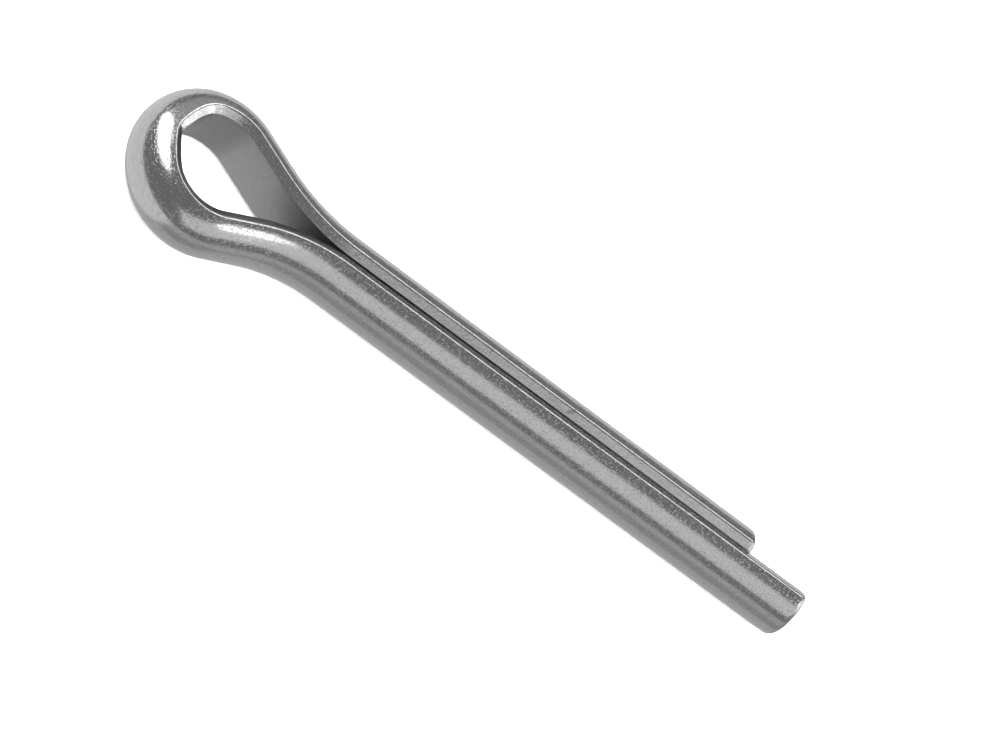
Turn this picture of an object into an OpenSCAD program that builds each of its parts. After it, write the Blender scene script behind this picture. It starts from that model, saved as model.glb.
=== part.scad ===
// Cotter pin, also called a split pin: one length of half-round wire, folded into
// an eye and two legs that lie flat face to flat face.
// The legs run along +X and the pin lies flat, with its eye in a level plane.
// The origin is on the pin's axis, at the root of the straight legs.

/* [Wire] */
// Width of the half-round wire, edge to edge
wire_w = 6.7; // [6:0.1:9]
// Thickness of the wire, from its flat face to its crown
wire_t = 3.45; // [2.8:0.1:4.2]
// Radius of both edges, where the crown turns over into the bevel
edge_r = 0.35; // [0.2:0.05:0.9]
// Width of the bevel between each edge round and the flat face
bevel_w = 0.8; // [0.2:0.05:1.1]
// Slope of the bevel, in degrees from square to the flat face
bevel_angle = 35; // [15:1:60]

/* [Eye] */
// Inside radius of the eye's round end
eye_r = 4.5; // [3.7:0.1:7]
// Slope of the eye's straight arms to the pin's axis, in degrees
arm_angle = 26; // [18:1:32]
// Radius of the flat face where each arm bends into its leg
neck_r = 22.5; // [8:0.5:28]

/* [Legs] */
// Straight length of the shorter leg
leg_l = 47; // [15:0.1:120]
// Length by which the longer leg passes the shorter one
leg_step = 6.7; // [0.5:0.1:15]
// Gap between the flat faces at the root of the legs
root_gap = 0.2; // [0.1:0.02:1.2]
// Gap between the flat faces at the end of the shorter leg
tip_gap = 0.06; // [0.04:0.01:0.2]
// Radius on the rim of each cut end
tip_r = 0.55; // [0.1:0.05:0.7]

/* [Hidden] */
$fn = 96;

// Each bevel rises from a corner on the flat face and runs on into its edge round.
// Bevel, edge round and crown dip under one another by a hair, so that they cross cleanly
dip = 0.002;
edge_u = tidy(bevel_w * cos(bevel_angle) + edge_r * sin(bevel_angle));
edge_z = wire_w / 2 - edge_r;
bevel_u = tidy(edge_u - (edge_r - dip) * sin(bevel_angle));
bevel_z = tidy(edge_z + (edge_r - dip) * cos(bevel_angle));
corner_z = tidy(edge_z + edge_r * cos(bevel_angle) - bevel_w * sin(bevel_angle));
// The crown is one arc over both edge rounds
crown_h = wire_t - edge_u;
crown_r = tidy((pow(crown_h, 2) + pow(edge_z, 2) - pow(edge_r, 2)) / (2 * (crown_h - edge_r)) - dip);
crown_u = wire_t - crown_r;
// The crown starts here, just under each edge round
join_u = tidy(crown_u + crown_r * (edge_u - crown_u) / (crown_r - edge_r));

// Each leg leans in by this angle, so the legs close towards their ends
lean = tidy(atan((root_gap - tip_gap) / 2 / leg_l));
// Length of each straight arm, between the eye's round end and its neck bend
arm_l = tidy(
    (eye_r * cos(arm_angle) - root_gap / 2 - neck_r * (cos(lean) - cos(arm_angle))) / sin(arm_angle)
);

// Centre of the eye's round end
eye_x = neck_r * sin(lean) - (neck_r + eye_r) * sin(arm_angle) - arm_l * cos(arm_angle);
// Middle of the upper arm's flat face
arm_x = eye_x + eye_r * sin(arm_angle) + arm_l / 2 * cos(arm_angle);
arm_y = eye_r * cos(arm_angle) - arm_l / 2 * sin(arm_angle);
// Centre of the upper neck bend, beside the root of the leg
neck_x = neck_r * sin(lean);
neck_y = (eye_r + neck_r) * cos(arm_angle) - arm_l * sin(arm_angle);

// Rounds to four places, so that a length or an angle is carried into the solid exactly
function tidy(value) = round(value * 10000) / 10000;

// Puts a piece at a point as a step to four places and the small rest of the way,
// so that it meets the next piece face to face
module place(x, y) {
    translate([tidy(x), tidy(y), 0])
        translate([x - tidy(x), y - tidy(y), 0])
            children();
}

// Section of the wire: its flat face on the Y axis and its crown towards +X
module wire_section() {
    for (side = [-1, 1])
        translate([edge_u, side * edge_z]) circle(r = edge_r);
    polygon([
        [0, -corner_z], [bevel_u, -bevel_z], [edge_u, -edge_z], [join_u + edge_r / 2, -edge_z],
        [join_u + edge_r / 2, edge_z], [edge_u, edge_z], [bevel_u, bevel_z], [0, corner_z]
    ]);
    intersection() {
        translate([crown_u, 0]) circle(r = crown_r);
        translate([join_u, -wire_w]) square([2 * wire_w, 2 * wire_w]);
    }
}

// Straight wire along +X, with its flat face towards -Y
module straight_wire(length) {
    rotate([90, 0, 90]) linear_extrude(length) wire_section();
}

// What the rounded rim takes off a cut end, as a ring about the crown's own axis
module rim_cut(end) {
    translate([end, crown_u, 0]) rotate([90, 0, 90])
        rotate_extrude()
            translate([crown_r - tip_r, -tip_r])
                difference() {
                    square(2 * tip_r);
                    circle(r = tip_r);
                }
}

module leg(length) {
    place(0, neck_y - neck_r * cos(lean))
        rotate([0, 0, -lean])
            difference() {
                straight_wire(length);
                rim_cut(length);
            }
}

module neck() {
    place(neck_x, neck_y)
        rotate_extrude(angle = arm_angle - lean, start = 270 - arm_angle)
            translate([neck_r, 0]) mirror([1, 0]) wire_section();
}

module arm() {
    place(arm_x, arm_y)
        rotate([0, 0, -arm_angle])
            translate([-arm_l / 2, 0, 0]) straight_wire(arm_l);
}

module eye_end() {
    place(eye_x, 0)
        rotate_extrude(angle = 180 + 2 * arm_angle, start = 90 - arm_angle)
            translate([eye_r, 0]) wire_section();
}

module cotter_pin() {
    color("darkgray") {
        eye_end();
        arm();
        neck();
        leg(leg_l);
        mirror([0, 1, 0]) {
            arm();
            neck();
            leg(leg_l + leg_step);
        }
    }
}

cotter_pin();
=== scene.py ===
import math

import bpy
import numpy as np
from mathutils import Matrix, Quaternion, Vector, noise


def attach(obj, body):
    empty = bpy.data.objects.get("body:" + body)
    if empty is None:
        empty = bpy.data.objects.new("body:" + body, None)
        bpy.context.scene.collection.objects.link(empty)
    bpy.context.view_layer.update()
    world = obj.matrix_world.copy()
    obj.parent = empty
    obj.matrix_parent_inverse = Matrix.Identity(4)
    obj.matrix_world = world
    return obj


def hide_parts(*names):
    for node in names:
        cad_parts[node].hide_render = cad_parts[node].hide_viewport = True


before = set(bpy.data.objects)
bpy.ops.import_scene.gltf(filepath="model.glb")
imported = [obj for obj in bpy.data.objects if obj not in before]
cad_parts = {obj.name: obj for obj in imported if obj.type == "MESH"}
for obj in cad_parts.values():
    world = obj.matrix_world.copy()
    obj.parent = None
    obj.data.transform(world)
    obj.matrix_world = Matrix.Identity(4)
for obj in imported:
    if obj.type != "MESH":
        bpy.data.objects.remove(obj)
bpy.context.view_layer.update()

# ---------------------------------------------------------------- the folded wire
# The whole pin is one length of half-round steel wire. It was drawn through a die, cut
# to length, folded flat face to flat face over a round former, and tumbled bright.

# Lengths in millimetres and angles in degrees. The corner between bevel and flat face is
# broken by corner_r, and tip_r rounds the rim of each cut end
MM = 0.001
wire_w = 6.7
wire_t = 3.45
edge_r = 0.35
bevel_w = 0.8
bevel_angle = 35.0
corner_r = 0.05
eye_r = 4.5
arm_angle = 26.0
neck_r = 22.5
root_gap = 0.2
tip_gap = 0.06
short_leg = 47.0
long_leg = 53.7
tip_r = 0.6


def walked(places, knots, headings, start):
    """Points and headings, in radians, along a line that turns evenly between its knots."""
    fine = np.linspace(knots[0], knots[-1], 20001)
    middle = (fine[1:] + fine[:-1]) / 2
    heading = np.radians(np.interp(middle, knots, headings))
    steps = np.stack([np.cos(heading), np.sin(heading)]) * (fine[1] - fine[0])
    line = np.hstack([np.zeros((2, 1)), np.cumsum(steps, axis=1)]) + np.array(start)[:, None]
    points = np.stack([np.interp(places, fine, row) for row in line], axis=-1)
    return points, np.radians(np.interp(places, knots, headings))


# The section is walked once round, from the lower end of the flat face: up the flat, over
# the upper bevel and edge round, over the crown, and back by the lower edge round and bevel.
# In it u runs out from the flat face and z up. Each stretch has its length, its turn in
# degrees and its number of points
bevel_slope = math.radians(bevel_angle)
edge_z = wire_w / 2 - edge_r
edge_u = bevel_w * math.cos(bevel_slope) + edge_r * math.sin(bevel_slope)
crown_h = wire_t - edge_u
crown_r = (crown_h**2 + edge_z**2 - edge_r**2) / (2 * (crown_h - edge_r))
crown_turn = math.degrees(math.acos((crown_r - crown_h) / (crown_r - edge_r)))
edge_turn = 90 - crown_turn + bevel_angle
corner_turn = 90 - bevel_angle
corner_z = edge_z + edge_r * math.cos(bevel_slope) - bevel_w * math.sin(bevel_slope)
cut_back = corner_r * math.tan(math.radians(corner_turn / 2))
corner = (corner_r * math.radians(corner_turn), corner_turn, 5)
bevel = (bevel_w - cut_back, 0, 7)
edge_round = (edge_r * math.radians(edge_turn), edge_turn, 10)
flat = (2 * (corner_z - cut_back), 0, 12)
crown = (2 * crown_r * math.radians(crown_turn), 2 * crown_turn, 46)
stretches = [flat, corner, bevel, edge_round, crown, edge_round, bevel, corner]
section_knots = np.cumsum([0] + [length for length, turn, count in stretches])
section_turns = 90 - np.cumsum([0] + [turn for length, turn, count in stretches])
section_places = np.concatenate([
    np.linspace(section_knots[i], section_knots[i + 1], count, endpoint=False)
    for i, (length, turn, count) in enumerate(stretches)
])
section, section_heading = walked(section_places, section_knots, section_turns, (0, cut_back - corner_z))
section_out = np.stack([-np.sin(section_heading), np.cos(section_heading)], axis=-1)

# The flat face's middle line, from the outermost point of the eye down one side
lean = math.degrees(math.atan((root_gap - tip_gap) / 2 / short_leg))
turn_in = math.radians(arm_angle)
turn_out = math.radians(arm_angle - lean)
eye_run = eye_r * (math.pi / 2 + turn_in)
arm_run = (
    eye_r * math.cos(turn_in)
    - root_gap / 2
    - neck_r * (math.cos(math.radians(lean)) - math.cos(turn_in))
) / math.sin(turn_in)
neck_run = neck_r * turn_out
side_knots = np.cumsum([0, eye_run, arm_run, neck_run, long_leg])
side_headings = [90, -arm_angle, -arm_angle, -lean, -lean]
to_root = side_knots[3]

# Stations along the wire, from the long leg's end round the eye to the short leg's end.
# They crowd together over the rounded rims of the two cut ends
rim_count = 6
station_count = 910
rim_steps = tip_r * (1 - np.cos(np.linspace(0, math.pi / 2, rim_count + 1)[:-1]))
first, last = -(to_root + long_leg), to_root + short_leg
stations = np.concatenate([
    first + rim_steps,
    np.linspace(first + tip_r, last - tip_r, station_count),
    (last - rim_steps)[::-1],
])
eye_x = (
    neck_r * math.sin(math.radians(lean))
    - (neck_r + eye_r) * math.sin(turn_in)
    - arm_run * math.cos(turn_in)
)
points, headings = walked(np.abs(stations), side_knots, side_headings, (eye_x - eye_r, 0))
side = np.where(stations < 0, -1.0, 1.0)
outward = np.stack([-np.sin(headings), np.cos(headings) * side], axis=-1)
points[:, 1] *= side

# Wear and waves reach full depth this far out from the flat face
full_wear_u = 0.6
worn = 0.010
wave_depth = 0.006
ripple_depth = 0.002
knock_depth = 0.035


def sunk(along, around, u, z):
    """How far wear and slow waves, and shallow knocks from the tumbler, lie below the drawn form."""
    wave = noise.noise(Vector((along * 0.16, around * 0.45, 3.1)))
    ripple = noise.noise(Vector((along * 0.55, around * 0.9, 8.7)))
    knock = max(0.0, noise.noise(Vector((along, u, z)) * 0.9) - 0.42)
    reached = min(1.0, u / full_wear_u)
    return (worn + wave_depth * wave + ripple_depth * ripple) * reached + knock_depth * knock


# Three slight facets that the former pressed into the flat face, in the eye's round end.
# Each has its place along the wire, its width and its depth, which is negative for a rise
facets = ((0.3, 0.9, 0.25), (4.4, 1.6, 0.22), (-2.0, 1.2, -0.12))


def pressed(along):
    return sum(depth * math.exp(-(((along - place) / width) ** 2)) for place, width, depth in facets)


# Each point also keeps its place in the wire as it was before folding: station, u and z
vertices = []
in_wire = []
for station, point, out in zip(stations, points, outward):
    from_end = min(station - first, last - station, tip_r)
    rim = tip_r - math.sqrt(tip_r**2 - (tip_r - from_end) ** 2)
    for (u, z), (out_u, out_z), around in zip(section, section_out, section_places):
        low = sunk(station, around, u, z)
        u_low = (u - low * out_u) * (1 - rim / wire_t) + pressed(station) * (1 - u / wire_t)
        z_low = (z - low * out_z) * (1 - 2 * rim / wire_w)
        vertices.append((*(point + out * u_low), z_low))
        in_wire.append((station, u, z))

round_count = len(section)
faces = []
for row in range(len(stations) - 1):
    for i in range(round_count):
        j = (i + 1) % round_count
        a, b = row * round_count, (row + 1) * round_count
        faces.append((a + i, b + i, b + j, a + j))

# Each cut end is closed by rings that shrink to the middle of the section. The shear left
# a smooth upper part and a rough, slightly hollow lower part
cap_scales = [0.9, 0.78, 0.64, 0.48, 0.32, 0.16]
smooth_above = 0.3
cut_depth = 0.02
torn_depth = 0.16
torn_roughness = 0.12
grain_past_end = 3
inward = np.array([-1.0, 0.0, 0.0])
for row, way in ((0, 1), (len(stations) - 1, -1)):
    rim_ring = list(range(row * round_count, (row + 1) * round_count))
    edge = rim_ring
    middle = np.mean([vertices[i] for i in rim_ring], axis=0)
    for scale in cap_scales:
        ring = list(range(len(vertices), len(vertices) + round_count))
        for i in rim_ring:
            spot = middle + (np.array(vertices[i]) - middle) * scale
            torn = max(0.0, smooth_above - spot[2] / wire_w) * (1 - scale)
            rough = noise.noise(Vector(spot) * 2.5 + Vector((0, 0, 40.0 * way)))
            depth = cut_depth + torn * (torn_depth + torn_roughness * rough)
            vertices.append(tuple(spot + inward * depth))
            in_wire.append((stations[row] - way * grain_past_end * (1 - scale), spot[1], spot[2]))
        for i in range(round_count):
            j = (i + 1) % round_count
            faces.append((edge[i], edge[j], ring[j], ring[i])[::way])
        edge = ring
    faces.append(tuple(edge)[::way])

wire_mesh = bpy.data.meshes.new("folded_wire")
wire_mesh.from_pydata((np.array(vertices) * MM).tolist(), [], faces)
wire_mesh.attributes.new("in_wire", "FLOAT_VECTOR", "POINT").data.foreach_set(
    "vector", np.array(in_wire, dtype=np.float32).ravel()
)
wire_mesh.shade_smooth()
wire_mesh.update()
folded_wire = bpy.data.objects.new("folded_wire", wire_mesh)
bpy.context.collection.objects.link(folded_wire)

# Tumbled steel: bright metal with a fine grain, pits that catch the light, and faint lines
# from the drawing die. The flat face, which no stone in the tumbler reached, stays dull,
# and so do the cut ends
steel = bpy.data.materials.new("tumbled_steel")
steel.use_nodes = True
nodes, links = steel.node_tree.nodes, steel.node_tree.links
shader = nodes["Principled BSDF"]
shader.inputs["Metallic"].default_value = 1.0
wire_space = nodes.new("ShaderNodeAttribute")
wire_space.attribute_name = "in_wire"


def grain(scale, along=1.0, detail=2.0, roughness=0.5):
    """Noise laid in the wire's own space, in millimetres, drawn out along the wire."""
    drawn = nodes.new("ShaderNodeMapping")
    drawn.inputs["Scale"].default_value = (1 / along, 1, 1)
    texture = nodes.new("ShaderNodeTexNoise")
    texture.inputs["Scale"].default_value = scale
    texture.inputs["Detail"].default_value = detail
    texture.inputs["Roughness"].default_value = roughness
    links.new(wire_space.outputs["Vector"], drawn.inputs["Vector"])
    links.new(drawn.outputs["Vector"], texture.inputs["Vector"])
    return texture.outputs["Fac"]


def ranged(value, from_lo, from_hi, to_lo, to_hi):
    """Carries one range of a value to another, and holds it at both ends."""
    node = nodes.new("ShaderNodeMapRange")
    node.inputs["From Min"].default_value = from_lo
    node.inputs["From Max"].default_value = from_hi
    node.inputs["To Min"].default_value = to_lo
    node.inputs["To Max"].default_value = to_hi
    links.new(value, node.inputs["Value"])
    return node.outputs["Result"]


def joined(operation, first_value, second_value):
    """One value made from two, by a sum or a choice."""
    node = nodes.new("ShaderNodeMath")
    node.operation = operation
    links.new(first_value, node.inputs[0])
    links.new(second_value, node.inputs[1])
    return node.outputs["Value"]


def dented(height, depth, strength, below=None):
    """Bump from a height pattern, its depth in millimetres."""
    node = nodes.new("ShaderNodeBump")
    node.inputs["Distance"].default_value = depth * MM
    node.inputs["Strength"].default_value = strength
    links.new(height, node.inputs["Height"])
    if below is not None:
        links.new(below, node.inputs["Normal"])
    return node.outputs["Normal"]


# Dull metal: the flat face, and a short way in from each cut end
split = nodes.new("ShaderNodeSeparateXYZ")
links.new(wire_space.outputs["Vector"], split.inputs["Vector"])
on_flat = ranged(split.outputs["Y"], 0.02, 0.10, 1.0, 0.0)
at_long_end = ranged(split.outputs["X"], first + 0.15, first + 0.55, 1.0, 0.0)
at_short_end = ranged(split.outputs["X"], last - 0.55, last - 0.15, 0.0, 1.0)
unpolished = joined("MAXIMUM", on_flat, joined("MAXIMUM", at_long_end, at_short_end))

# The metal's grey varies little where it is bright, and is darker where it is dull
tint = nodes.new("ShaderNodeValToRGB")
tint.color_ramp.elements[0].position = 0.34
tint.color_ramp.elements[0].color = (0.435, 0.435, 0.44, 1)
tint.color_ramp.elements[1].position = 0.62
tint.color_ramp.elements[1].color = (0.50, 0.50, 0.505, 1)
links.new(grain(4.5, 1.3, 4, 0.75), tint.inputs["Fac"])
dark_tint = nodes.new("ShaderNodeMix")
dark_tint.data_type = "RGBA"
dark_tint.blend_type = "MULTIPLY"
dark_tint.inputs["B"].default_value = (0.70, 0.70, 0.70, 1)
links.new(unpolished, dark_tint.inputs["Factor"])
links.new(tint.outputs["Color"], dark_tint.inputs["A"])
links.new(dark_tint.outputs["Result"], shader.inputs["Base Color"])

polish = ranged(grain(2.2, 1.0, 4, 0.6), 0.35, 0.65, 0.11, 0.20)
dull = ranged(unpolished, 0.0, 1.0, 0.0, 0.26)
links.new(joined("ADD", polish, dull), shader.inputs["Roughness"])

# Fine unevenness all over, then faint lines along the wire, then scattered pits
peel = dented(grain(5.0, 1.0, 2, 0.5), 0.012, 0.55)
die_lines = dented(grain(8.0, 25.0, 2, 0.5), 0.006, 0.4, peel)
pits = ranged(grain(5.5, 1.0, 3, 0.6), 0.30, 0.44, 0.0, 1.0)
links.new(dented(pits, 0.014, 0.65, die_lines), shader.inputs["Normal"])
wire_mesh.materials.append(steel)

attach(folded_wire, "root")
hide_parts("cotter_pin")

# ---------------------------------------------------------------- the floor
# A plain pale sheet of paper that the pin lies on, at the height of the wire's lowest line.
# It is not part of the pin, and the steel doesn't mirror it.


def sheet(name, low, high, height, material):
    """A level rectangle between two corners, in metres."""
    mesh = bpy.data.meshes.new(name)
    corners = [(low[0], low[1]), (high[0], low[1]), (high[0], high[1]), (low[0], high[1])]
    mesh.from_pydata([(x, y, height) for x, y in corners], [], [(0, 1, 2, 3)])
    mesh.materials.append(material)
    made = bpy.data.objects.new(name, mesh)
    bpy.context.collection.objects.link(made)
    return made


paper = bpy.data.materials.new("pale_paper")
paper.use_nodes = True
paper.node_tree.nodes["Principled BSDF"].inputs["Base Color"].default_value = (0.88, 0.88, 0.88, 1)
paper.node_tree.nodes["Principled BSDF"].inputs["Roughness"].default_value = 0.9
floor = sheet("floor", (-3, -3), (3, 3), -wire_w / 2 * MM, paper)
floor.visible_glossy = False
floor.visible_shadow = False

# ---------------------------------------------------------------- the light
# A tent of soft boxes in a dim room, all at one distance from the pin, with glowing sheets
# below it for the underside of the steel, and one wide wash from above that only the floor
# shows.


def glow(name, strength):
    """A surface that only shines."""
    made = bpy.data.materials.new(name)
    made.use_nodes = True
    tree = made.node_tree
    tree.nodes.clear()
    emission = tree.nodes.new("ShaderNodeEmission")
    emission.inputs["Strength"].default_value = strength
    output = tree.nodes.new("ShaderNodeOutputMaterial")
    tree.links.new(emission.outputs["Emission"], output.inputs["Surface"])
    return made


# Each sheet has two opposite corners and a height, in metres, and a strength. The higher
# sheets hide part of the lowest one
for name, low, high, height, strength in (
    ("low_glow", (-6, -6), (6, 6), -0.40, 0.62),
    ("low_glow_left", (-6, -6), (-0.10, 6), -0.39, 1.0),
    ("low_glow_far", (-0.10, 0.35), (6, 6), -0.385, 0.85),
    ("low_shade", (-0.05, -0.96), (0.9, -0.36), -0.38, 0.42),
):
    under = sheet(name, low, high, height, glow(name, strength))
    under.visible_camera = False
    under.visible_diffuse = False
    under.visible_shadow = False

reach = 0.6
lamp_aim = Vector((0.015, 0, 0))


def softbox(name, bearing, height, wide, tall, bright, roll=0, shape="RECTANGLE", mirrored=True):
    """A flat lamp that faces the pin, placed and sized in degrees. Bearing is from -Y towards +X."""
    turn, rise = math.radians(bearing), math.radians(height)
    level = math.cos(rise)
    away = Vector((math.sin(turn) * level, -math.cos(turn) * level, math.sin(rise)))
    lamp = bpy.data.lights.new(name, "AREA")
    lamp.shape = shape
    lamp.size = 2 * reach * math.tan(math.radians(wide / 2))
    lamp.size_y = 2 * reach * math.tan(math.radians(tall / 2))
    lamp.energy = bright * math.pi * lamp.size * lamp.size_y
    holder = bpy.data.objects.new(name, lamp)
    holder.location = away * reach + lamp_aim
    holder.rotation_mode = "QUATERNION"
    holder.rotation_quaternion = away.to_track_quat("Z", "Y") @ Quaternion((0, 0, 1), math.radians(roll))
    holder.visible_camera = False
    holder.visible_glossy = mirrored
    bpy.context.collection.objects.link(holder)


# Each lamp has its bearing, height, width, tallness and brightness
softbox("near_box", 42, 36, 74, 37, 0.69)
softbox("arm_box", 72, 47, 16, 14, 2.2)
softbox("end_box", -118, 39, 31, 66, 2.6, roll=-31, shape="ELLIPSE")
softbox("far_strip", 145, 53, 28, 14, 3.0)
softbox("rim_box", 84, 27, 26, 13, 2.4, roll=25)
softbox("back_fill", -170, 40, 50, 50, 0.25)
softbox("tip_box", 100, 10, 44, 22, 2.0)
softbox("floor_wash", 0, 89, 110, 110, 6.0, mirrored=False)

room = bpy.data.worlds.new("room")
bpy.context.scene.world = room
room.use_nodes = True
room.node_tree.nodes["Background"].inputs["Color"].default_value = (0.26, 0.26, 0.26, 1)

# ---------------------------------------------------------------- the camera
# A long lens, well above the pin and off its eye end. It looks at a point on the pin's axis,
# moved a little across the picture and up it.

look = Vector((0.3181, 0.5519, -0.7709)).normalized()
right = Vector((0.7630, 0.3337, 0.5536))
right = (right - look * right.dot(look)).normalized()
up = right.cross(look)
distance = 1.715
aim = Vector((19.1, 0, 0)) * MM + right * 0.14 * MM + up * 1.34 * MM
camera_data = bpy.data.cameras.new("camera")
camera_data.lens = 686
camera_data.clip_end = 20
camera = bpy.data.objects.new("camera", camera_data)
bpy.context.collection.objects.link(camera)
bpy.context.scene.camera = camera
turned = Matrix((right, up, -look)).transposed().to_4x4()
camera.matrix_world = Matrix.Translation(aim - look * distance) @ turned
bpy.context.scene.view_settings.view_transform = "Standard"
